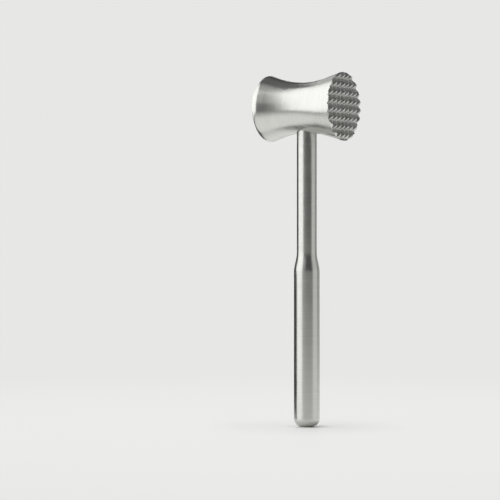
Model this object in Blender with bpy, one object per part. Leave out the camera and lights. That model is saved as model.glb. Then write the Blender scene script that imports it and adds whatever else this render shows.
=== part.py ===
"""All-steel meat mallet: a turned head with milled teeth on a swaged tube handle.

The handle stands along +Z with the flat of its rounded end at the origin. The head lies along X,
with its toothed face towards +X and its plain face towards -X. All sizes are in metres.
"""

import math

import bmesh
import bpy

# Overall
HEAD_CENTRE_HEIGHT = 0.2330
FIT_GAP = 0.0003

# Head, turned from solid bar; reaches and the waist's place are measured along it from the handle's axis
WAIST_PLACE = -0.0015
WAIST_RADIUS = 0.0186
WAIST_ARC_RADIUS = 0.0665
PLAIN_REACH = 0.0340
PLAIN_END_RADIUS = 0.0243
PLAIN_END_ROUNDING = 0.0042
TOOTHED_REACH = 0.0323
TOOTHED_END_RADIUS = 0.0249
TOOTHED_END_ROUNDING = 0.0022

# Teeth, milled as crossed V grooves; the middle grooves pass a little beside and above the axis
TOOTH_PITCH = 0.00615
TOOTH_TIP_FLAT = 0.0005
GROOVE_ANGLE = math.radians(90)
MIDDLE_COLUMN_GROOVE = 0.0019
MIDDLE_ROW_GROOVE = 0.0012
GROOVES_EACH_SIDE = 4

# Handle, one tube drawn down to a thinner shaft above the grip
GRIP_RADIUS = 0.0095
SHAFT_RADIUS = 0.0074
TUBE_WALL = 0.0012
SWAGE_BOTTOM = 0.1130
SWAGE_TOP = 0.1270
SHAFT_SEAT_DEPTH = 0.0034

# Rounded end cap, with a spigot inside the tube
CAP_HEIGHT = 0.0080
CAP_ROUNDING = 0.0060
SPIGOT_LENGTH = 0.0080
SPIGOT_CHAMFER = 0.0008

# Stud, its blind hole in the head, and the bush that holds it in the top of the tube
STUD_RADIUS = 0.0040
STUD_IN_HEAD = 0.0160
STUD_IN_BUSH = 0.0200
STUD_CHAMFER = 0.0008
HOLE_BEYOND_STUD = 0.0010
DRILL_POINT_ANGLE = math.radians(118)
DRILL_TIP_RADIUS = 0.0002
BUSH_LENGTH = 0.0220
BUSH_CHAMFER = 0.0006

# Smoothness of the turned surfaces
HEAD_STEPS = 44
HANDLE_STEPS = 48
INNER_STEPS = 32
WAIST_ARC_POINTS = 7
END_ARC_POINTS = 9
SWAGE_POINTS = 11
CAP_ARC_POINTS = 9
SHARP_ANGLE = math.radians(32)

# How far a cutter runs past the surface that it cuts
CUTTER_LIFT = 0.0001
CUTTER_OVERRUN = 0.0020

# Finish of each piece: colour, roughness
SATIN_STEEL = ((0.60, 0.60, 0.585), 0.30)
BRUSHED_STEEL = ((0.58, 0.58, 0.565), 0.34)
MILLED_STEEL = ((0.52, 0.52, 0.51), 0.45)

# Worked out from the sizes above
GROOVE_SLOPE = math.tan(GROOVE_ANGLE / 2)
TOOTH_HEIGHT = (TOOTH_PITCH - TOOTH_TIP_FLAT) / (2 * GROOVE_SLOPE)
SHAFT_TOP = HEAD_CENTRE_HEIGHT - WAIST_RADIUS + SHAFT_SEAT_DEPTH
TUBE_BOTTOM = CAP_HEIGHT + FIT_GAP


def clear_scene():
    for obj in list(bpy.data.objects):
        bpy.data.objects.remove(obj, do_unlink=True)


def steel(name, finish):
    """A metal with one colour and roughness."""
    colour, roughness = finish
    material = bpy.data.materials.new(name)
    material.use_nodes = True
    shader = material.node_tree.nodes["Principled BSDF"]
    shader.inputs["Base Color"].default_value = (*colour, 1.0)
    shader.inputs["Metallic"].default_value = 1.0
    shader.inputs["Roughness"].default_value = roughness
    return material


def add_object(name, bm, material=None):
    """Turns a bmesh into a smooth-shaded object in the scene."""
    bmesh.ops.recalc_face_normals(bm, faces=bm.faces)
    mesh = bpy.data.meshes.new(name)
    bm.to_mesh(mesh)
    bm.free()
    mesh.shade_smooth()
    mesh.set_sharp_from_angle(angle=SHARP_ANGLE)
    obj = bpy.data.objects.new(name, mesh)
    bpy.context.scene.collection.objects.link(obj)
    if material:
        mesh.materials.append(material)
    return obj


def add_cutter(name, bm):
    """A helper solid that only shapes another piece."""
    cutter = add_object(name, bm)
    cutter.hide_render = True
    cutter.display_type = "WIRE"
    return cutter


def cut_away(obj, cutter):
    cut = obj.modifiers.new(cutter.name, "BOOLEAN")
    cut.operation = "DIFFERENCE"
    cut.solver = "EXACT"
    cut.object = cutter


def arc(centre, radius, start, end, points):
    """Points along a circle in the (along, out) plane, from one angle to another."""
    angles = [start + (end - start) * i / (points - 1) for i in range(points)]
    return [(centre[0] + radius * math.cos(a), centre[1] + radius * math.sin(a)) for a in angles]


def turned(profile, axis, steps, hollow=False):
    """A solid of revolution of (along, out) points about X or Z.

    A hollow profile is a closed loop. Any other profile is closed by a flat face at each end.
    About X the facets start half a step round, so that no groove runs into a facet's corner.
    """
    bm = bmesh.new()
    if axis == "X":
        side = math.sin(math.pi / steps)
        up = math.cos(math.pi / steps)
        verts = [bm.verts.new((along, out * side, out * up)) for along, out in profile]
        spin_axis = (1.0, 0.0, 0.0)
    else:
        verts = [bm.verts.new((out, 0.0, along)) for along, out in profile]
        spin_axis = (0.0, 0.0, 1.0)
    edges = [bm.edges.new(pair) for pair in zip(verts, verts[1:])]
    if hollow:
        edges.append(bm.edges.new((verts[-1], verts[0])))
    bmesh.ops.spin(
        bm,
        geom=verts + edges,
        cent=(0.0, 0.0, 0.0),
        axis=spin_axis,
        angle=2 * math.pi,
        steps=steps,
        use_merge=True,
    )
    open_edges = [edge for edge in bm.edges if edge.is_boundary]
    bmesh.ops.holes_fill(bm, edges=open_edges, sides=0)
    return bm


def flank_angle(reach, end_radius, rounding):
    """The slope of the straight flank, which touches both the waist arc and the end rounding.

    The line passes between the two circles, so its distance from their centres adds up to the sum
    of their radii, and that leaves one angle.
    """
    both_radii = WAIST_ARC_RADIUS + rounding
    along = reach - rounding
    out = both_radii - (end_radius - WAIST_RADIUS)
    return math.atan2(along, out) - math.acos(both_radii / math.hypot(along, out))


def half_head_profile(reach, end_radius, rounding):
    """One side of the spool, from the narrowest place of the waist to the flat at its end."""
    slope = flank_angle(reach, end_radius, rounding)
    waist_centre = (0.0, WAIST_RADIUS + WAIST_ARC_RADIUS)
    bottom = -math.pi / 2
    waist = arc(waist_centre, WAIST_ARC_RADIUS, bottom, bottom + slope, WAIST_ARC_POINTS)
    end_centre = (reach - rounding, end_radius - rounding)
    end = arc(end_centre, rounding, math.pi / 2 + slope, 0.0, END_ARC_POINTS)
    return waist + end


def head_profile():
    """The whole spool, from the plain face over the waist to the face that takes the teeth."""
    plain = half_head_profile(PLAIN_REACH + WAIST_PLACE, PLAIN_END_RADIUS, PLAIN_END_ROUNDING)
    toothed = half_head_profile(TOOTHED_REACH - WAIST_PLACE, TOOTHED_END_RADIUS, TOOTHED_END_ROUNDING)
    plain_side = [(WAIST_PLACE - along, out) for along, out in reversed(plain[1:])]
    toothed_side = [(WAIST_PLACE + along, out) for along, out in toothed]
    return plain_side + toothed_side


def groove_comb(name, middle_groove, along_z):
    """A row of V ridges, side by side, that mills all the grooves of one direction at once."""
    half_width = (TOOTH_HEIGHT + CUTTER_LIFT) * GROOVE_SLOPE
    ridge_top = TOOTHED_REACH + CUTTER_LIFT
    outline = []
    for index in range(-GROOVES_EACH_SIDE, GROOVES_EACH_SIDE + 1):
        middle = middle_groove + index * TOOTH_PITCH
        outline.append((middle - half_width, ridge_top))
        outline.append((middle, TOOTHED_REACH - TOOTH_HEIGHT))
        outline.append((middle + half_width, ridge_top))
    first, last = outline[0][0], outline[-1][0]
    outline.append((last, ridge_top + CUTTER_OVERRUN))
    outline.append((first, ridge_top + CUTTER_OVERRUN))
    reach = TOOTHED_END_RADIUS + CUTTER_OVERRUN
    bm = bmesh.new()
    if along_z:
        verts = [bm.verts.new((height, across, -reach)) for across, height in outline]
        travel = (0.0, 0.0, 2 * reach)
    else:
        verts = [bm.verts.new((height, -reach, across)) for across, height in outline]
        travel = (0.0, 2 * reach, 0.0)
    end_face = bm.faces.new(verts)
    swept = bmesh.ops.extrude_face_region(bm, geom=[end_face], use_keep_orig=True)
    moved = [item for item in swept["geom"] if isinstance(item, bmesh.types.BMVert)]
    bmesh.ops.translate(bm, verts=moved, vec=travel)
    return add_cutter(name, bm)


def socket_cutter(name):
    """The stepped hole under the waist: a seat for the tube, then a blind hole for the stud."""
    hole_radius = STUD_RADIUS + FIT_GAP
    seat_radius = SHAFT_RADIUS + FIT_GAP
    shaft_top = SHAFT_TOP - HEAD_CENTRE_HEIGHT
    ceiling = shaft_top + FIT_GAP
    hole_end = shaft_top + STUD_IN_HEAD + HOLE_BEYOND_STUD
    cone = (hole_radius - DRILL_TIP_RADIUS) / math.tan(DRILL_POINT_ANGLE / 2)
    profile = [
        (-TOOTHED_END_RADIUS, seat_radius),
        (ceiling, seat_radius),
        (ceiling, hole_radius + STUD_CHAMFER),
        (ceiling + STUD_CHAMFER, hole_radius),
        (hole_end, hole_radius),
        (hole_end + cone, DRILL_TIP_RADIUS),
    ]
    return add_cutter(name, turned(profile, "Z", HANDLE_STEPS))


def mallet_head(frame):
    """The solid spool, with its teeth and the socket for the handle cut from it."""
    head = add_object("mallet_head", turned(head_profile(), "X", HEAD_STEPS), steel("satin_head", SATIN_STEEL))
    head.parent = frame
    head.location.z = HEAD_CENTRE_HEIGHT
    cutters = [
        groove_comb("groove_rows", MIDDLE_ROW_GROOVE, along_z=False),
        groove_comb("groove_columns", MIDDLE_COLUMN_GROOVE, along_z=True),
        socket_cutter("handle_socket"),
    ]
    for cutter in cutters:
        cutter.parent = head
        cut_away(head, cutter)


def tube_radius(height):
    """Outer radius of the tube: an S curve eases the grip into the shaft."""
    share = (height - SWAGE_BOTTOM) / (SWAGE_TOP - SWAGE_BOTTOM)
    share = min(max(share, 0.0), 1.0)
    eased = share * share * (3 - 2 * share)
    return GRIP_RADIUS + (SHAFT_RADIUS - GRIP_RADIUS) * eased


def handle_tube(frame):
    """The grip and the shaft in one length of tube, open at both ends."""
    step = (SWAGE_TOP - SWAGE_BOTTOM) / (SWAGE_POINTS - 1)
    swage = [SWAGE_BOTTOM + step * i for i in range(SWAGE_POINTS)]
    heights = [TUBE_BOTTOM] + swage + [SHAFT_TOP]
    outside = [(height, tube_radius(height)) for height in heights]
    inside = [(height, out - TUBE_WALL) for height, out in reversed(outside)]
    bm = turned(outside + inside, "Z", HANDLE_STEPS, hollow=True)
    tube = add_object("handle_tube", bm, steel("brushed_tube", BRUSHED_STEEL))
    tube.parent = frame


def end_cap(frame):
    """The rounded bottom of the handle, with a flat to stand on and a spigot inside the tube."""
    centre = (CAP_ROUNDING, GRIP_RADIUS - CAP_ROUNDING)
    rounding = arc(centre, CAP_ROUNDING, math.pi, math.pi / 2, CAP_ARC_POINTS)
    spigot_radius = GRIP_RADIUS - TUBE_WALL - FIT_GAP
    spigot_top = CAP_HEIGHT + SPIGOT_LENGTH
    spigot = [
        (CAP_HEIGHT, GRIP_RADIUS),
        (CAP_HEIGHT, spigot_radius),
        (spigot_top - SPIGOT_CHAMFER, spigot_radius),
        (spigot_top, spigot_radius - SPIGOT_CHAMFER),
    ]
    bm = turned(rounding + spigot, "Z", HANDLE_STEPS)
    cap = add_object("end_cap", bm, steel("brushed_cap", BRUSHED_STEEL))
    cap.parent = frame


def neck_bush(frame):
    """A threaded ring fixed in the top of the tube, flush with its end."""
    outer = SHAFT_RADIUS - TUBE_WALL - FIT_GAP
    bore = STUD_RADIUS + FIT_GAP
    profile = [
        (0.0, bore + BUSH_CHAMFER),
        (0.0, outer - BUSH_CHAMFER),
        (-BUSH_CHAMFER, outer),
        (BUSH_CHAMFER - BUSH_LENGTH, outer),
        (-BUSH_LENGTH, outer - BUSH_CHAMFER),
        (-BUSH_LENGTH, bore + BUSH_CHAMFER),
        (BUSH_CHAMFER - BUSH_LENGTH, bore),
        (-BUSH_CHAMFER, bore),
    ]
    bm = turned(profile, "Z", INNER_STEPS, hollow=True)
    bush = add_object("neck_bush", bm, steel("milled_bush", MILLED_STEEL))
    bush.parent = frame
    bush.location.z = SHAFT_TOP


def handle_stud(frame):
    """The screw that joins head and handle, part of it in each."""
    profile = [
        (-STUD_IN_BUSH, STUD_RADIUS - STUD_CHAMFER),
        (STUD_CHAMFER - STUD_IN_BUSH, STUD_RADIUS),
        (STUD_IN_HEAD - STUD_CHAMFER, STUD_RADIUS),
        (STUD_IN_HEAD, STUD_RADIUS - STUD_CHAMFER),
    ]
    bm = turned(profile, "Z", INNER_STEPS)
    stud = add_object("handle_stud", bm, steel("milled_stud", MILLED_STEEL))
    stud.parent = frame
    stud.location.z = SHAFT_TOP


def main():
    clear_scene()
    frame = bpy.data.objects.new("mallet", None)
    bpy.context.scene.collection.objects.link(frame)
    mallet_head(frame)
    handle_stud(frame)
    neck_bush(frame)
    handle_tube(frame)
    end_cap(frame)
    bpy.context.view_layer.update()


main()
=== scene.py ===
"""Looks of the all-steel meat mallet: fine turned pieces, brushed steel, floor, studio light and camera.

The handle stands along +Z and the head lies along X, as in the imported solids. All sizes are in metres.
"""

import math

import bmesh
import bpy
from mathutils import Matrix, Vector
from mathutils.geometry import delaunay_2d_cdt


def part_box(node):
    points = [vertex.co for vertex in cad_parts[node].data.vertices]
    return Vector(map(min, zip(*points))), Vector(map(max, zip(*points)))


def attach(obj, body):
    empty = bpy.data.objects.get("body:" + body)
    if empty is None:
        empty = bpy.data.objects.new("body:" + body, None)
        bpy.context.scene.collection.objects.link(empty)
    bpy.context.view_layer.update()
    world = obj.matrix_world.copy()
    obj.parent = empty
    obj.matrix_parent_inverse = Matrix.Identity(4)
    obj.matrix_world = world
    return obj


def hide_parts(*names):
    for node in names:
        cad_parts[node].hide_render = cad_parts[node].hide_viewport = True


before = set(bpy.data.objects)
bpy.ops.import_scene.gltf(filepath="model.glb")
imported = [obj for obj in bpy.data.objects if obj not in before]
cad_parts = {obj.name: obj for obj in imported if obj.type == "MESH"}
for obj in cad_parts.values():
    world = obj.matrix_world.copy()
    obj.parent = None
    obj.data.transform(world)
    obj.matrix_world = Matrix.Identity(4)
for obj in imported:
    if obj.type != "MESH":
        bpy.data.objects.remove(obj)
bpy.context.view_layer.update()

# Head, as in the solids
HEAD_CENTRE_HEIGHT = 0.2330
WAIST_PLACE = -0.0015
WAIST_RADIUS = 0.0186
WAIST_ARC_RADIUS = 0.0665
PLAIN_REACH = 0.0340
PLAIN_END_RADIUS = 0.0243
PLAIN_END_ROUNDING = 0.0042
TOOTHED_REACH = 0.0323
TOOTHED_END_RADIUS = 0.0249
TOOTHED_END_ROUNDING = 0.0022
TOOTHED_SIDE = (TOOTHED_REACH - WAIST_PLACE, TOOTHED_END_RADIUS, TOOTHED_END_ROUNDING)

# Teeth, as in the solids, with softened edges
TOOTH_PITCH = 0.00615
TOOTH_TIP_FLAT = 0.0005
GROOVE_ANGLE = math.radians(90)
MIDDLE_COLUMN_GROOVE = 0.0019
MIDDLE_ROW_GROOVE = 0.0012
MIDDLE_TOOTH = (MIDDLE_COLUMN_GROOVE - TOOTH_PITCH / 2, MIDDLE_ROW_GROOVE - TOOTH_PITCH / 2)
GROOVE_SLOPE = math.tan(GROOVE_ANGLE / 2)
TOOTH_HEIGHT = (TOOTH_PITCH - TOOTH_TIP_FLAT) / (2 * GROOVE_SLOPE)
RIDGE_SOFTENING = 0.00040
ROOT_SOFTENING = 0.00015
FIELD_STEPS_PER_TOOTH = 16

# Rim of the toothed face, with angles up the turned edge from its widest place
RIM_FIRST_ANGLE = math.radians(30)
RIM_LAST_ANGLE = math.radians(62)
RIM_RINGS = 13
RIM_FINENESS = 2
RIM_MARGIN = 0.00025
RIM_TRIES = 12
RIM_LEAST_BAND = math.radians(1)
BORDER_SLACK = 1e-6
INSIDE_BORDER = 1

# Places of the head's finishes in its list of materials
SIDE_FINISH = 0
PLAIN_FINISH = 1
TOOTH_FINISH = 2

# Handle, as in the solids
GRIP_RADIUS = 0.0095
SHAFT_RADIUS = 0.0074
TUBE_WALL = 0.0012
SWAGE_BOTTOM = 0.1130
SWAGE_TOP = 0.1270
SHAFT_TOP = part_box("handle_tube")[1].z
CAP_HEIGHT = 0.0080
CAP_ROUNDING = 0.0060
SPIGOT_LENGTH = 0.0080
SPIGOT_CHAMFER = 0.0008
SPIGOT_GAP = 0.0003
SEAM_GAP = 0.00002

# Socket under the waist
SOCKET_GAP = 0.00012
STUD_HOLE_RADIUS = 0.0043
STUD_HOLE_DEPTH = 0.0170
SOCKET_START = -0.0250

# Fineness of the turned surfaces
HEAD_STEPS = 384
HANDLE_STEPS = 160
WAIST_ARC_POINTS = 16
END_ARC_POINTS = 16
SWAGE_POINTS = 41
CAP_ARC_POINTS = 17
SMALL_EDGE = 0.0002
WELD_DISTANCE = 1e-7
SHARP_ANGLE = math.radians(38)

# Camera, from the photograph's 500 by 500 frame
PHOTO_SIZE = 500
FOCAL_PIXELS = 2100
HORIZON_ROW = 239
HEAD_YAW = math.radians(30)
CAMERA_DISTANCE = 1.5346
CAMERA_HEIGHT = 0.1371
CAMERA_LEFT = 0.0416
SENSOR_WIDTH = 36.0

# Directions in the room as the photograph shows it
TO_RIGHT = Vector((math.cos(HEAD_YAW), math.sin(HEAD_YAW), 0.0))
TO_CAMERA = Vector((math.sin(HEAD_YAW), -math.cos(HEAD_YAW), 0.0))
UP = Vector((0.0, 0.0, 1.0))

# Lamps: name, place and aim (right, towards the camera, up), width, height and brightness.
# A brightness of 1 looks white.
LAMPS = (
    ("left_wall", (-1.00, 0.00, 1.285), (0.00, 0.00, 1.285), 2.10, 2.63, 1.55),
    ("front_fill", (-0.61, 1.01, 1.15), (0.00, 0.00, 0.20), 0.75, 1.24, 0.45),
    ("front_low", (-0.62, 1.15, 0.30), (0.00, 0.00, 0.18), 0.50, 0.50, 0.13),
    ("right_card", (1.10, 0.20, 0.40), (0.00, 0.00, 0.18), 1.20, 1.10, 0.66),
    ("back_left", (-0.30, -1.35, 0.30), (0.00, 0.00, 0.18), 2.00, 1.00, 1.30),
    ("back_high", (-0.65, -1.30, 1.12), (0.00, 0.00, 0.20), 0.80, 0.75, 0.72),
    ("back_right", (0.95, -1.10, 0.20), (0.00, 0.00, 0.18), 1.20, 0.80, 0.45),
    ("back_right_high", (0.72, -1.20, 0.95), (0.00, 0.00, 0.23), 1.00, 0.60, 0.30),
    ("top_card", (0.10, 0.35, 1.35), (0.00, 0.00, 0.18), 1.00, 0.90, 0.38),
    ("top_back", (0.10, -0.60, 1.40), (0.00, 0.00, 0.18), 1.00, 0.80, 0.10),
)

# Dark cards on the left, behind the handle: name, distance to the left, reach behind, reach up, grey
FLAGS = (
    ("low_flag", 0.055, (0.004, 0.3), (0.0, 0.115), 0.01),
    ("high_flag", 0.065, (0.021, 0.3), (0.115, 0.23), 0.02),
)
FLAG_ROUGHNESS = 0.9

# Background and room
BACKGROUND_COLOUR = (0.80, 0.80, 0.785)
ROOM_COLOUR = (0.045, 0.045, 0.045)

# Floor
FLOOR_REACH_SIDEWAYS = 0.64
FLOOR_REACH_FORWARDS = 1.20
FLOOR_COLOUR = (0.88, 0.88, 0.865)
FLOOR_ROUGHNESS = 0.45
FLOOR_SPECULAR = 0.15
# Painted pool of light: the floor's own colour to the camera is a little brighter round the handle's foot
FLOOR_PAINTED_POOL_COLOUR = (0.86, 0.86, 0.845)
FLOOR_SHINE = (1.0, 1.0, 0.985)

# What the floor shows by itself: reach from the handle, and stops with a share of that reach and a level
PAINT_REACH = 0.60
SEEN_REACH = 0.30
SEEN_STOPS = ((0.02, 0.0), (0.06, 0.65), (0.25, 0.92), (1.0, 1.0))
SHINE_REACH = 1.0
SHINE_STOPS = ((0.006, 0.0), (0.030, 1.0), (0.38, 1.0), (0.60, 0.0))

# Brushed steels: colour, roughness and stretch of the gloss
HEAD_STEEL = ((0.62, 0.625, 0.595), 0.30, 0.55)
FACED_STEEL = ((0.52, 0.525, 0.505), 0.50, 0.30)
TUBE_STEEL = ((0.60, 0.605, 0.575), 0.32, 0.60)

# Milled steels: colour and roughness
TOOTH_STEEL = ((0.57, 0.575, 0.55), 0.40)
INNER_STEEL = ((0.52, 0.52, 0.51), 0.45)

# Brush marks: noises with their scale and detail, and how far they change colour, gloss and relief
RING_STRETCH = 30.0
FINE_RINGS = (60.0, 3.0)
COARSE_RINGS = (9.0, 2.0)
HANDLING_PATCHES = (45.0, 3.0)
BRUSH_CONTRAST = 0.05
BRUSH_SPREAD = 0.03
HANDLING_SPREAD = 0.025
BRUSH_DEPTH = 0.00001
BRUSH_STRENGTH = 0.25
QUARTER_TURN = 0.25

# Milling marks, in the same way
MILLED_GRAIN = (2600.0, 3.0)
MILLED_PATCHES = (160.0, 3.0)
MILLED_CONTRAST = 0.07
MILLED_SPREAD = 0.05
MILLED_DEPTH = 0.00003
MILLED_STRENGTH = 0.3

# Range in which nearly all of a noise lies
NOISE_LOW = 0.3
NOISE_HIGH = 0.7


# Profiles

def arc(centre, radius, start, end, points):
    """Points along a circle in the (along, out) plane, from one angle to another."""
    angles = [start + (end - start) * i / (points - 1) for i in range(points)]
    return [(centre[0] + radius * math.cos(a), centre[1] + radius * math.sin(a)) for a in angles]


def flank_angle(reach, end_radius, rounding):
    """The slope of the straight flank, which touches both the waist arc and the end rounding."""
    both_radii = WAIST_ARC_RADIUS + rounding
    along = reach - rounding
    out = both_radii - (end_radius - WAIST_RADIUS)
    return math.atan2(along, out) - math.acos(both_radii / math.hypot(along, out))


def half_head_profile(reach, end_radius, rounding, end_angle):
    """One side of the spool, from the narrowest place of the waist to an angle of the end rounding."""
    slope = flank_angle(reach, end_radius, rounding)
    waist_centre = (0.0, WAIST_RADIUS + WAIST_ARC_RADIUS)
    bottom = -math.pi / 2
    waist = arc(waist_centre, WAIST_ARC_RADIUS, bottom, bottom + slope, WAIST_ARC_POINTS)
    end_centre = (reach - rounding, end_radius - rounding)
    end = arc(end_centre, rounding, math.pi / 2 + slope, end_angle, END_ARC_POINTS)
    return waist + end


def tube_radius(height):
    """Outer radius of the tube: an S curve eases the grip into the shaft."""
    share = (height - SWAGE_BOTTOM) / (SWAGE_TOP - SWAGE_BOTTOM)
    share = min(max(share, 0.0), 1.0)
    eased = share * share * (3 - 2 * share)
    return GRIP_RADIUS + (SHAFT_RADIUS - GRIP_RADIUS) * eased


# Meshes

def turned(profile, axis, steps, closed_loop=False, cap_start=True, cap_end=True):
    """Vertices and faces of a surface of revolution of (along, out) points about X or Z."""
    verts = []
    for along, out in profile:
        for step in range(steps):
            angle = 2 * math.pi * step / steps
            if axis == "X":
                verts.append((along, out * math.sin(angle), out * math.cos(angle)))
            else:
                verts.append((out * math.cos(angle), out * math.sin(angle), along))
    rings = len(profile)
    faces = []
    for ring in range(rings if closed_loop else rings - 1):
        this, other = ring * steps, (ring + 1) % rings * steps
        for step in range(steps):
            beside = (step + 1) % steps
            faces.append((this + step, this + beside, other + beside, other + step))
    if not closed_loop and cap_start:
        faces.append(tuple(range(steps)))
    if not closed_loop and cap_end:
        faces.append(tuple(range((rings - 1) * steps, rings * steps)))
    return verts, faces


def make_piece(name, verts, faces, height=0.0):
    """A smooth-shaded object whose faces point out, with its origin on the handle's axis."""
    mesh = bpy.data.meshes.new(name)
    mesh.from_pydata(verts, [], faces)
    piece = bpy.data.objects.new(name, mesh)
    bpy.context.scene.collection.objects.link(piece)
    piece.location.z = height
    tidy_mesh(mesh)
    return piece


def tidy_mesh(mesh):
    """Welds doubled points, turns the faces outwards and shades all but the sharp edges smooth."""
    bm = bmesh.new()
    bm.from_mesh(mesh)
    bmesh.ops.remove_doubles(bm, verts=bm.verts, dist=WELD_DISTANCE)
    bmesh.ops.recalc_face_normals(bm, faces=bm.faces)
    bm.to_mesh(mesh)
    bm.free()
    mesh.shade_smooth()
    mesh.set_sharp_from_angle(angle=SHARP_ANGLE)


def dress(piece, node, slot, *materials):
    """Gives a piece its materials and puts it in place of a solid."""
    for material in materials:
        piece.data.materials.append(material)
    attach(piece, "root")
    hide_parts(node)


# Toothed face

def soft_minimum(first, second):
    """The lower of two heights, with the edge between them rounded over."""
    share = 0.5 + 0.5 * (second - first) / RIDGE_SOFTENING
    share = min(max(share, 0.0), 1.0)
    return second + (first - second) * share - RIDGE_SOFTENING * share * (1 - share)


def groove_height(across):
    """Height of the face where only the grooves of one direction are milled, from the middle tooth."""
    from_root = abs((across / TOOTH_PITCH) % 1.0 - 0.5) * TOOTH_PITCH
    rise = math.hypot(from_root / GROOVE_SLOPE, ROOT_SOFTENING) - ROOT_SOFTENING
    return TOOTHED_REACH - TOOTH_HEIGHT + rise


def rounding_height(out):
    """Height of the turned end of the head at a distance from its axis."""
    past_flat = max(out - (TOOTHED_END_RADIUS - TOOTHED_END_ROUNDING), 0.0)
    drop = math.sqrt(max(TOOTHED_END_ROUNDING ** 2 - past_flat ** 2, 0.0))
    return TOOTHED_REACH - TOOTHED_END_ROUNDING + drop


def crossed_height(across, up):
    """Height of the face where only the two sets of grooves are milled."""
    columns = groove_height(across - MIDDLE_TOOTH[0])
    rows = groove_height(up - MIDDLE_TOOTH[1])
    return soft_minimum(columns, rows)


def face_height(across, up):
    """Height of the toothed face: the lower of the grooves and the turned end."""
    return soft_minimum(crossed_height(across, up), rounding_height(math.hypot(across, up)))


def rim_radius(angle):
    """Distance from the head's axis at an angle of the turned edge."""
    return TOOTHED_END_RADIUS - TOOTHED_END_ROUNDING * (1 - math.cos(angle))


def rim_height(angle):
    """Height at an angle of the turned edge."""
    return TOOTHED_REACH - TOOTHED_END_ROUNDING * (1 - math.sin(angle))


def border_angle(turn):
    """Place on the turned edge where the toothed face ends: lower where a groove runs out."""
    highest = rim_height(RIM_FIRST_ANGLE)
    lowest = RIM_LEAST_BAND - flank_angle(*TOOTHED_SIDE)
    angle = RIM_FIRST_ANGLE
    for _ in range(RIM_TRIES):
        radius = rim_radius(angle)
        grooves = crossed_height(radius * math.sin(turn), radius * math.cos(turn))
        share = (soft_minimum(grooves, highest) - rim_height(0.0)) / TOOTHED_END_ROUNDING
        angle = max(math.asin(share), lowest)
    return angle


def rim_point(angle, turn):
    """A point of the turned edge, seen along the head."""
    radius = rim_radius(angle)
    return Vector((radius * math.sin(turn), radius * math.cos(turn)))


def turns_of(steps):
    """Angles of evenly spaced points round an axis."""
    return [2 * math.pi * step / steps for step in range(steps)]


def rim_points():
    """The border where the turned side ends, and rings up the turned edge inside it."""
    points = [rim_point(border_angle(turn), turn) for turn in turns_of(HEAD_STEPS)]
    for ring in range(1, RIM_RINGS):
        angle = RIM_FIRST_ANGLE + (RIM_LAST_ANGLE - RIM_FIRST_ANGLE) * ring / (RIM_RINGS - 1)
        points += [rim_point(angle, turn) for turn in turns_of(RIM_FINENESS * HEAD_STEPS)]
    return points


def slide_rim(verts):
    """Moves the last rings of the turned side down to where the grooves run out through it."""
    first = len(verts) - END_ARC_POINTS * HEAD_STEPS
    start = -flank_angle(*TOOTHED_SIDE)
    for step, turn in enumerate(turns_of(HEAD_STEPS)):
        end = border_angle(turn)
        for ring in range(END_ARC_POINTS):
            angle = start + (end - start) * ring / (END_ARC_POINTS - 1)
            verts[first + ring * HEAD_STEPS + step] = (rim_height(angle), *rim_point(angle, turn))


def lattice_points(points):
    """Adds a lattice with a point in each cell, so that roots and ridges both lie on edges.

    Returns the lattice's own edges, which the triangles have to keep.
    """
    spacing = TOOTH_PITCH / FIELD_STEPS_PER_TOOTH
    inner = rim_radius(RIM_LAST_ANGLE) - RIM_MARGIN
    count = int((inner + TOOTH_PITCH) / spacing)
    corners = {}
    for row in range(-count, count + 1):
        for column in range(-count, count + 1):
            corner = Vector(MIDDLE_TOOTH) + Vector((column, row)) * spacing
            middle = corner + Vector((spacing, spacing)) / 2
            if corner.length < inner:
                corners[column, row] = len(points)
                points.append(corner)
            if middle.length < inner:
                points.append(middle)
    edges = []
    for (column, row), index in corners.items():
        for beside in ((column + 1, row), (column, row + 1)):
            if beside in corners:
                edges.append((index, corners[beside]))
    return edges


def toothed_face():
    """Vertices and triangles of the toothed face, inside the border where the turned side ends."""
    points = rim_points()
    edges = [(step, (step + 1) % HEAD_STEPS) for step in range(HEAD_STEPS)]
    edges += lattice_points(points)
    flat, _, triangles, _, _, _ = delaunay_2d_cdt(points, edges, [], INSIDE_BORDER, WELD_DISTANCE)
    border_radius = rim_radius(RIM_FIRST_ANGLE) - BORDER_SLACK
    verts = []
    for point in flat:
        if point.length > border_radius:
            height = rim_height(border_angle(math.atan2(point.x, point.y)))
        else:
            height = face_height(point.x, point.y)
        verts.append((height, point.x, point.y))
    return verts, triangles


# Pieces

def head_mesh():
    """Turned side, plain face and toothed face of the head, and the finish of each mesh face."""
    plain_reach = PLAIN_REACH + WAIST_PLACE
    plain = half_head_profile(plain_reach, PLAIN_END_RADIUS, PLAIN_END_ROUNDING, 0.0)
    plain.append((plain_reach, PLAIN_END_RADIUS - PLAIN_END_ROUNDING - SMALL_EDGE))
    toothed = half_head_profile(*TOOTHED_SIDE, math.pi / 2 - RIM_FIRST_ANGLE)
    plain_side = [(WAIST_PLACE - along, out) for along, out in reversed(plain[1:])]
    toothed_side = [(WAIST_PLACE + along, out) for along, out in toothed]
    verts, faces = turned(plain_side + toothed_side, "X", HEAD_STEPS, cap_end=False)
    slide_rim(verts)
    face_verts, triangles = toothed_face()
    first = len(verts)
    # The last turned face closes the plain end
    finishes = [SIDE_FINISH] * (len(faces) - 1) + [PLAIN_FINISH] + [TOOTH_FINISH] * len(triangles)
    verts += face_verts
    faces += [tuple(first + index for index in triangle) for triangle in triangles]
    return verts, faces, finishes


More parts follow.
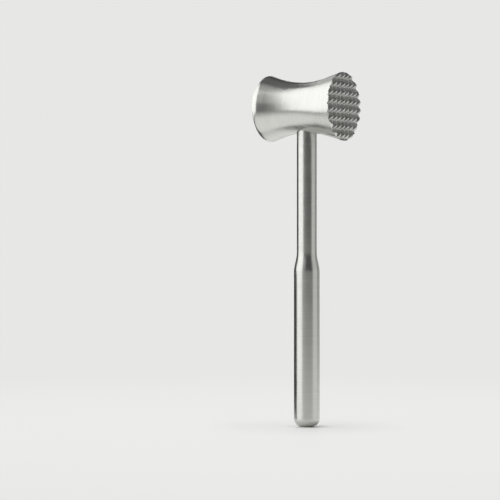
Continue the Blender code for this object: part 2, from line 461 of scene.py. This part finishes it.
def socket_profile():
    """The stepped hole under the waist, about Z from the middle of the head."""
    seat_radius = SHAFT_RADIUS + SOCKET_GAP
    ceiling = SHAFT_TOP - HEAD_CENTRE_HEIGHT + SOCKET_GAP
    return [
        (SOCKET_START, seat_radius),
        (ceiling, seat_radius),
        (ceiling, STUD_HOLE_RADIUS),
        (ceiling + STUD_HOLE_DEPTH, STUD_HOLE_RADIUS),
    ]


def cut_socket(head):
    """Cuts the handle's socket into the head and keeps the result as the head's own mesh."""
    verts, faces = turned(socket_profile(), "Z", HANDLE_STEPS)
    cutter = make_piece("socket_cutter", verts, faces, HEAD_CENTRE_HEIGHT)
    cut = head.modifiers.new("socket", "BOOLEAN")
    cut.operation = "DIFFERENCE"
    cut.solver = "EXACT"
    cut.object = cutter
    depsgraph = bpy.context.evaluated_depsgraph_get()
    cut_mesh = bpy.data.meshes.new_from_object(head.evaluated_get(depsgraph))
    head.modifiers.clear()
    head.data = cut_mesh
    bpy.data.objects.remove(cutter, do_unlink=True)
    cut_mesh.shade_smooth()
    cut_mesh.set_sharp_from_angle(angle=SHARP_ANGLE)


def add_head():
    """The head with its three finishes and the handle's socket."""
    verts, faces, finishes = head_mesh()
    head = make_piece("satin_head", verts, faces, HEAD_CENTRE_HEIGHT)
    side = brushed_steel("satin_head", *HEAD_STEEL, "X")
    plain_face = brushed_steel("faced_end", *FACED_STEEL, "X")
    teeth = milled_steel("milled_teeth", *TOOTH_STEEL)
    dress(head, "mallet_head", "satin_head", side, plain_face, teeth)
    head.data.polygons.foreach_set("material_index", finishes)
    cut_socket(head)


def add_tube():
    """The grip and the shaft, with the bore inside."""
    bottom = CAP_HEIGHT + SEAM_GAP
    step = (SWAGE_TOP - SWAGE_BOTTOM) / (SWAGE_POINTS - 1)
    swage = [SWAGE_BOTTOM + step * i for i in range(SWAGE_POINTS)]
    heights = [bottom] + swage + [SHAFT_TOP - SMALL_EDGE]
    outside = [(height, tube_radius(height)) for height in heights]
    inside = [(height, out - TUBE_WALL) for height, out in reversed(outside)]
    top = [(SHAFT_TOP, SHAFT_RADIUS - SMALL_EDGE), (SHAFT_TOP, SHAFT_RADIUS - TUBE_WALL)]
    verts, faces = turned(outside + top + inside[1:], "Z", HANDLE_STEPS, closed_loop=True)
    tube = make_piece("brushed_tube", verts, faces)
    dress(tube, "handle_tube", "brushed_tube", brushed_steel("brushed_tube", *TUBE_STEEL, "Z"))


def add_cap():
    """The rounded end of the handle, with its standing flat and its spigot."""
    centre = (CAP_ROUNDING, GRIP_RADIUS - CAP_ROUNDING)
    flat = [(0.0, GRIP_RADIUS - CAP_ROUNDING - SMALL_EDGE)]
    rounding = arc(centre, CAP_ROUNDING, math.pi, math.pi / 2, CAP_ARC_POINTS)
    spigot_radius = GRIP_RADIUS - TUBE_WALL - SPIGOT_GAP
    spigot_top = CAP_HEIGHT + SPIGOT_LENGTH
    spigot = [
        (CAP_HEIGHT, GRIP_RADIUS),
        (CAP_HEIGHT, spigot_radius),
        (spigot_top - SPIGOT_CHAMFER, spigot_radius),
        (spigot_top, spigot_radius - SPIGOT_CHAMFER),
    ]
    verts, faces = turned(flat + rounding + spigot, "Z", HANDLE_STEPS)
    cap = make_piece("brushed_cap", verts, faces)
    dress(cap, "end_cap", "brushed_cap", brushed_steel("brushed_cap", *TUBE_STEEL, "Z"))


def finish_inner_pieces():
    """The stud and the bush keep their solids and get a machined steel."""
    material = milled_steel("milled_inner", *INNER_STEEL)
    for node in ("handle_stud", "neck_bush"):
        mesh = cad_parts[node].data
        mesh.materials.clear()
        mesh.materials.append(material)


# Materials

def new_material(name):
    """A metal and its node tree, shader and object coordinates."""
    material = bpy.data.materials.new(name)
    material.use_nodes = True
    tree = material.node_tree
    shader = tree.nodes["Principled BSDF"]
    shader.inputs["Metallic"].default_value = 1.0
    coordinates = tree.nodes.new("ShaderNodeTexCoord")
    return material, tree, shader, coordinates.outputs["Object"]


def math_node(tree, operation, first, second):
    """One step of arithmetic; each input is a number or a socket."""
    node = tree.nodes.new("ShaderNodeMath")
    node.operation = operation
    for socket, value in zip(node.inputs, (first, second)):
        if isinstance(value, (int, float)):
            socket.default_value = value
        else:
            tree.links.new(value, socket)
    return node.outputs[0]


def noise(tree, vector, scale, detail):
    """A cloudy value between 0 and 1."""
    node = tree.nodes.new("ShaderNodeTexNoise")
    node.inputs["Scale"].default_value = scale
    node.inputs["Detail"].default_value = detail
    tree.links.new(vector, node.inputs["Vector"])
    return node.outputs["Fac"]


def spread(tree, value, low, high):
    """Maps the middle of a noise onto a range."""
    node = tree.nodes.new("ShaderNodeMapRange")
    node.inputs["From Min"].default_value = NOISE_LOW
    node.inputs["From Max"].default_value = NOISE_HIGH
    node.inputs["To Min"].default_value = low
    node.inputs["To Max"].default_value = high
    tree.links.new(value, node.inputs["Value"])
    return node.outputs["Result"]


def ring_coordinates(tree, vector, axis):
    """Coordinates that change fast along and out from the axis, and slowly round it."""
    split = tree.nodes.new("ShaderNodeSeparateXYZ")
    tree.links.new(vector, split.inputs[0])
    along = split.outputs[axis]
    across = [split.outputs[name] for name in "XYZ" if name != axis]
    squares = [math_node(tree, "MULTIPLY", part, part) for part in across]
    out = math_node(tree, "SQRT", math_node(tree, "ADD", squares[0], squares[1]), 0.0)
    fast = math_node(tree, "MULTIPLY", math_node(tree, "ADD", along, out), RING_STRETCH)
    join = tree.nodes.new("ShaderNodeCombineXYZ")
    tree.links.new(fast, join.inputs[0])
    tree.links.new(across[0], join.inputs[1])
    tree.links.new(across[1], join.inputs[2])
    return join.outputs[0]


def tint(tree, shader, colour, value, contrast):
    """A steel colour whose brightness follows a noise."""
    ramp = tree.nodes.new("ShaderNodeValToRGB")
    ramp.color_ramp.elements[0].position = NOISE_LOW
    ramp.color_ramp.elements[1].position = NOISE_HIGH
    ramp.color_ramp.elements[0].color = (*[part * (1 - contrast) for part in colour], 1.0)
    ramp.color_ramp.elements[1].color = (*[part * (1 + contrast) for part in colour], 1.0)
    tree.links.new(value, ramp.inputs[0])
    tree.links.new(ramp.outputs[0], shader.inputs["Base Color"])


def bump(tree, shader, value, distance, strength):
    """Fine relief that follows a noise."""
    node = tree.nodes.new("ShaderNodeBump")
    node.inputs["Distance"].default_value = distance
    node.inputs["Strength"].default_value = strength
    tree.links.new(value, node.inputs["Height"])
    tree.links.new(node.outputs[0], shader.inputs["Normal"])


def brushed_steel(name, colour, roughness, anisotropy, axis):
    """Steel brushed round its axis: fine rings, softer patches from handling, and a stretched gloss."""
    material, tree, shader, place = new_material(name)
    rings = ring_coordinates(tree, place, axis)
    fine = noise(tree, rings, *FINE_RINGS)
    coarse = noise(tree, rings, *COARSE_RINGS)
    patches = noise(tree, place, *HANDLING_PATCHES)
    tint(tree, shader, colour, fine, BRUSH_CONTRAST)
    grain = spread(tree, coarse, roughness - BRUSH_SPREAD, roughness + BRUSH_SPREAD)
    wear = spread(tree, patches, -HANDLING_SPREAD, HANDLING_SPREAD)
    tree.links.new(math_node(tree, "ADD", grain, wear), shader.inputs["Roughness"])
    bump(tree, shader, fine, BRUSH_DEPTH, BRUSH_STRENGTH)
    shader.inputs["Anisotropic"].default_value = anisotropy
    shader.inputs["Anisotropic Rotation"].default_value = QUARTER_TURN
    tangent = tree.nodes.new("ShaderNodeTangent")
    tangent.direction_type = "RADIAL"
    tangent.axis = axis
    tree.links.new(tangent.outputs[0], shader.inputs["Tangent"])
    return material


def milled_steel(name, colour, roughness):
    """Steel as the cutter left it: matt, with a fine even grain."""
    material, tree, shader, place = new_material(name)
    grain = noise(tree, place, *MILLED_GRAIN)
    patches = noise(tree, place, *MILLED_PATCHES)
    tint(tree, shader, colour, patches, MILLED_CONTRAST)
    gloss = spread(tree, patches, roughness - MILLED_SPREAD, roughness + MILLED_SPREAD)
    tree.links.new(gloss, shader.inputs["Roughness"])
    bump(tree, shader, grain, MILLED_DEPTH, MILLED_STRENGTH)
    return material


# Studio

def studio_point(right, towards_camera, up):
    """A place in the room, measured from the foot of the handle as the photograph shows it."""
    return TO_RIGHT * right + TO_CAMERA * towards_camera + UP * up


def softbox(name, place, aim, width, height, brightness):
    """A rectangular lamp that the camera doesn't see; brightness 1 looks white in a reflection."""
    data = bpy.data.lights.new(name, "AREA")
    data.shape = "RECTANGLE"
    data.size = width
    data.size_y = height
    data.energy = brightness * math.pi * width * height
    lamp = bpy.data.objects.new(name, data)
    bpy.context.scene.collection.objects.link(lamp)
    lamp.location = studio_point(*place)
    facing = studio_point(*aim) - lamp.location
    lamp.rotation_mode = "QUATERNION"
    lamp.rotation_quaternion = facing.to_track_quat("-Z", "Y")
    lamp.visible_camera = False


def add_lights():
    """All the lamps of the studio."""
    for lamp in LAMPS:
        softbox(*lamp)


def flag_material(name, grey):
    """Matt grey card."""
    material = bpy.data.materials.new(name)
    material.use_nodes = True
    shader = material.node_tree.nodes["Principled BSDF"]
    shader.inputs["Base Color"].default_value = (grey, grey, grey, 1.0)
    shader.inputs["Roughness"].default_value = FLAG_ROUGHNESS
    return material


def add_flags():
    """Dark cards that only show as the dark edge of the steel's reflections."""
    for name, left, (near, far), (bottom, top), grey in FLAGS:
        corners = ((near, bottom), (far, bottom), (far, top), (near, top))
        verts = [studio_point(-left, -behind, up) for behind, up in corners]
        mesh = bpy.data.meshes.new(name)
        mesh.from_pydata(verts, [], [(0, 1, 2, 3)])
        mesh.materials.append(flag_material(name, grey))
        flag = bpy.data.objects.new(name, mesh)
        bpy.context.scene.collection.objects.link(flag)
        flag.visible_camera = False
        flag.visible_diffuse = False
        flag.visible_shadow = False


def mix_shaders(tree, share, first, second):
    """Fades one surface or background into another."""
    node = tree.nodes.new("ShaderNodeMixShader")
    for socket, value in zip(node.inputs, (share, first, second)):
        tree.links.new(value, socket)
    return node.outputs[0]


def add_world():
    """A pale background for the camera and a dim room for everything else."""
    world = bpy.data.worlds.new("studio")
    world.use_nodes = True
    bpy.context.scene.world = world
    tree = world.node_tree
    backdrop = tree.nodes["Background"]
    backdrop.inputs["Color"].default_value = (*BACKGROUND_COLOUR, 1.0)
    room = tree.nodes.new("ShaderNodeBackground")
    room.inputs["Color"].default_value = (*ROOM_COLOUR, 1.0)
    rays = tree.nodes.new("ShaderNodeLightPath")
    shown = mix_shaders(tree, rays.outputs["Is Camera Ray"], room.outputs[0], backdrop.outputs[0])
    tree.links.new(shown, tree.nodes["World Output"].inputs["Surface"])


def radial_ramp(tree, distance, reach, stops):
    """Colours that follow the distance from the handle; each stop is a share of the reach and a colour."""
    ramp = tree.nodes.new("ShaderNodeValToRGB")
    elements = ramp.color_ramp.elements
    while len(elements) < len(stops):
        elements.new(1.0)
    for element, (share, colour) in zip(elements, stops):
        element.position = share
        element.color = (*colour, 1.0)
    tree.links.new(math_node(tree, "DIVIDE", distance, reach), ramp.inputs[0])
    return ramp.outputs["Color"]


def share_ramp(tree, distance, reach, stops):
    """A share that follows the distance from the handle."""
    return radial_ramp(tree, distance, reach, [(place, (level, level, level)) for place, level in stops])


def distance_from_handle(tree):
    """How far a point of the floor is from the foot of the handle."""
    place = tree.nodes.new("ShaderNodeTexCoord").outputs["Object"]
    length = tree.nodes.new("ShaderNodeVectorMath")
    length.operation = "LENGTH"
    tree.links.new(place, length.inputs[0])
    return length.outputs["Value"]


def floor_paint(tree):
    """What the floor shows by itself to the camera and in the steel, and how much of it; to the camera it
    is a painted pool of light, brighter round the handle and fading into the background colour.
    """
    distance = distance_from_handle(tree)
    rays = tree.nodes.new("ShaderNodeLightPath").outputs
    paint = tree.nodes.new("ShaderNodeEmission")
    # Painted pool of light: brighter near the handle, fading out to the background colour
    paint_stops = ((0.0, FLOOR_PAINTED_POOL_COLOUR), (1.0, BACKGROUND_COLOUR))
    tree.links.new(radial_ramp(tree, distance, PAINT_REACH, paint_stops), paint.inputs["Color"])
    shine = tree.nodes.new("ShaderNodeEmission")
    shine.inputs["Color"].default_value = (*FLOOR_SHINE, 1.0)
    seen_share = share_ramp(tree, distance, SEEN_REACH, SEEN_STOPS)
    shine_share = share_ramp(tree, distance, SHINE_REACH, SHINE_STOPS)
    seen = math_node(tree, "MULTIPLY", seen_share, rays["Is Camera Ray"])
    shining = math_node(tree, "MULTIPLY", shine_share, rays["Is Glossy Ray"])
    share = math_node(tree, "ADD", seen, shining)
    return mix_shaders(tree, rays["Is Glossy Ray"], paint.outputs[0], shine.outputs[0]), share


def floor_material():
    """A pale, slightly glossy floor that runs out into the background and is clear from below."""
    material = bpy.data.materials.new("pale_floor")
    material.use_nodes = True
    tree = material.node_tree
    shader = tree.nodes["Principled BSDF"]
    shader.inputs["Base Color"].default_value = (*FLOOR_COLOUR, 1.0)
    shader.inputs["Roughness"].default_value = FLOOR_ROUGHNESS
    shader.inputs["Specular IOR Level"].default_value = FLOOR_SPECULAR
    paint, share = floor_paint(tree)
    above = mix_shaders(tree, share, shader.outputs[0], paint)
    below = tree.nodes.new("ShaderNodeNewGeometry").outputs["Backfacing"]
    clear = tree.nodes.new("ShaderNodeBsdfTransparent").outputs[0]
    surface = mix_shaders(tree, below, above, clear)
    tree.links.new(surface, tree.nodes["Material Output"].inputs["Surface"])
    return material


def add_floor():
    """An oval table top, longer towards the camera."""
    verts = []
    for step in range(HANDLE_STEPS):
        angle = 2 * math.pi * step / HANDLE_STEPS
        right = FLOOR_REACH_SIDEWAYS * math.cos(angle)
        away = FLOOR_REACH_FORWARDS * math.sin(angle)
        verts.append(studio_point(right, -away, 0.0))
    mesh = bpy.data.meshes.new("floor")
    mesh.from_pydata(verts, [], [tuple(range(HANDLE_STEPS))])
    floor = bpy.data.objects.new("floor", mesh)
    bpy.context.scene.collection.objects.link(floor)
    mesh.materials.append(floor_material())


def add_camera():
    """The photograph's line of sight, which is level but for a tilt of a third of a degree down."""
    data = bpy.data.cameras.new("camera")
    data.sensor_width = SENSOR_WIDTH
    data.lens = SENSOR_WIDTH * FOCAL_PIXELS / PHOTO_SIZE
    camera = bpy.data.objects.new("camera", data)
    bpy.context.scene.collection.objects.link(camera)
    camera.location = studio_point(-CAMERA_LEFT, CAMERA_DISTANCE, CAMERA_HEIGHT)
    tilt = math.atan((PHOTO_SIZE / 2 - HORIZON_ROW) / FOCAL_PIXELS)
    camera.rotation_euler = (math.pi / 2 - tilt, 0.0, HEAD_YAW)
    bpy.context.scene.camera = camera


bpy.context.scene.view_settings.view_transform = "Standard"
add_camera()
add_head()
add_tube()
add_cap()
finish_inner_pieces()
add_floor()
add_flags()
add_lights()
add_world()
